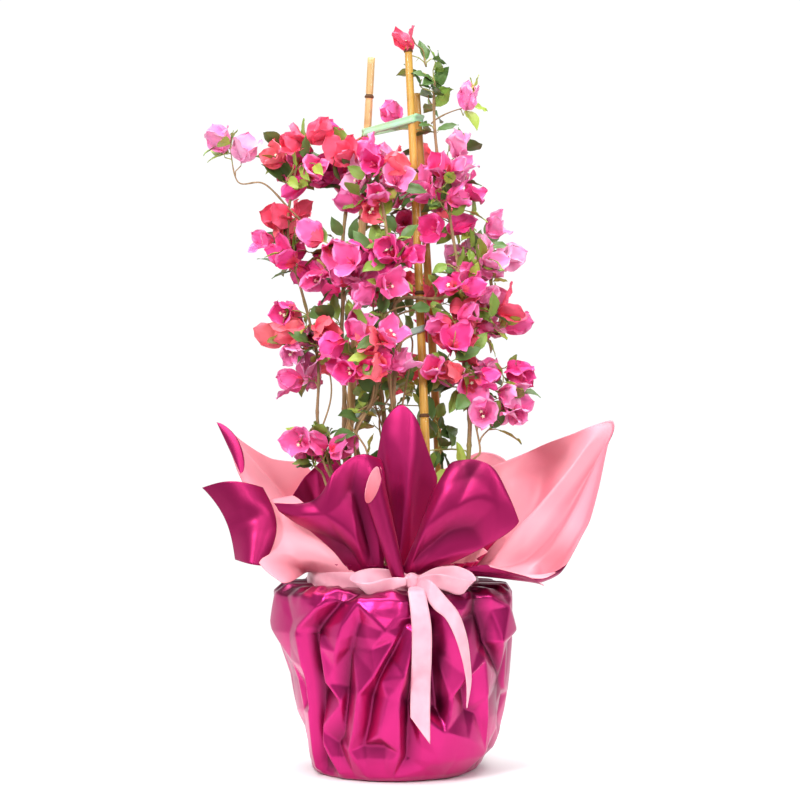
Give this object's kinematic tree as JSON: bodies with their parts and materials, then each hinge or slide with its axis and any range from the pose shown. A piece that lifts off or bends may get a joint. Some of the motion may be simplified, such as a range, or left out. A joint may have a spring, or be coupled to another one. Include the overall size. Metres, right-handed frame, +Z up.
{
  "type": "potted bougainvillea bush",
  "caption": "Flowering bougainvillea trained up bamboo canes, in a pot wrapped in two-tone film with a flared collar, tied with a satin ribbon and bow.",
  "frame": {"origin": "centre of the wrapping's flat underside, which the pot stands on", "axes": "+Z up along the pot's axis, -Y towards the front, where the bow is, +X to the right"},
  "size_m": [0.4737, 0.3337, 0.903],
  "materials": {
    "nursery_pot": "matt moulded plastic",
    "compost": "moist peat compost",
    "film_outside": "magenta metallic satin film",
    "film_inside": "matt salmon pink reverse of the film",
    "satin_ribbon": "pale pink satin",
    "bamboo": "dried bamboo with a natural sheen",
    "plant_tie": "soft pale green tape",
    "bark": "thin ridged bark",
    "green_shoot": "young olive shoot",
    "foliage": "green leaves with papery bracts among them",
    "bracts": "thin papery magenta and pink bracts"
  },
  "bodies": {
    "root": {"bough_crest": "green_shoot", "bough_left_sprig": "green_shoot", "bough_low_left": "green_shoot", "bough_right_sprig": "green_shoot", "bough_top_right": "green_shoot", "cane_front": "bamboo", "cane_left": "bamboo", "cane_right": "bamboo", "mass_back_lower": "foliage", "mass_back_middle": "foliage", "mass_centre_left": "foliage", "mass_crest": "bracts", "mass_crown_back": "foliage", "mass_crown_front": "foliage", "mass_crown_left": "foliage", "mass_crown_right": "foliage", "mass_front_lower": "foliage", "mass_front_upper": "foliage", "mass_left_lower": "foliage", "mass_left_middle": "foliage", "mass_left_sprig": "bracts", "mass_low_left": "foliage", "mass_right_fringe": "foliage", "mass_right_inner": "foliage", "mass_right_lower": "foliage", "mass_right_middle": "foliage", "mass_right_shoulder": "foliage", "mass_right_sprig": "bracts", "mass_top_column": "foliage", "mass_top_right": "bracts", "mass_upper_left": "foliage", "petal_back": "film_outside", "petal_back_left": "film_outside", "petal_front_left": "film_outside", "petal_front_right": "film_outside", "petal_front_roll": "film_outside", "petal_front_tall": "film_outside", "petal_left_cone": "film_outside", "petal_left_inner": "film_outside", "petal_left_tongue": "film_inside", "petal_right": "film_outside", "petal_right_back": "film_outside", "petal_right_under": "film_outside", "pot": "nursery_pot", "ribbon_band": "satin_ribbon", "ribbon_knot": "satin_ribbon", "ribbon_loop_left": "satin_ribbon", "ribbon_loop_right": "satin_ribbon", "ribbon_tail_front": "satin_ribbon", "ribbon_tail_side": "satin_ribbon", "soil": "compost", "stem_back": "bark", "stem_centre": "bark", "stem_front": "bark", "stem_left": "bark", "stem_left_outer": "bark", "stem_right": "bark", "tie_top": "plant_tie", "trunk": "bark", "wrap_body": "film_outside"}
  },
  "joints": []
}
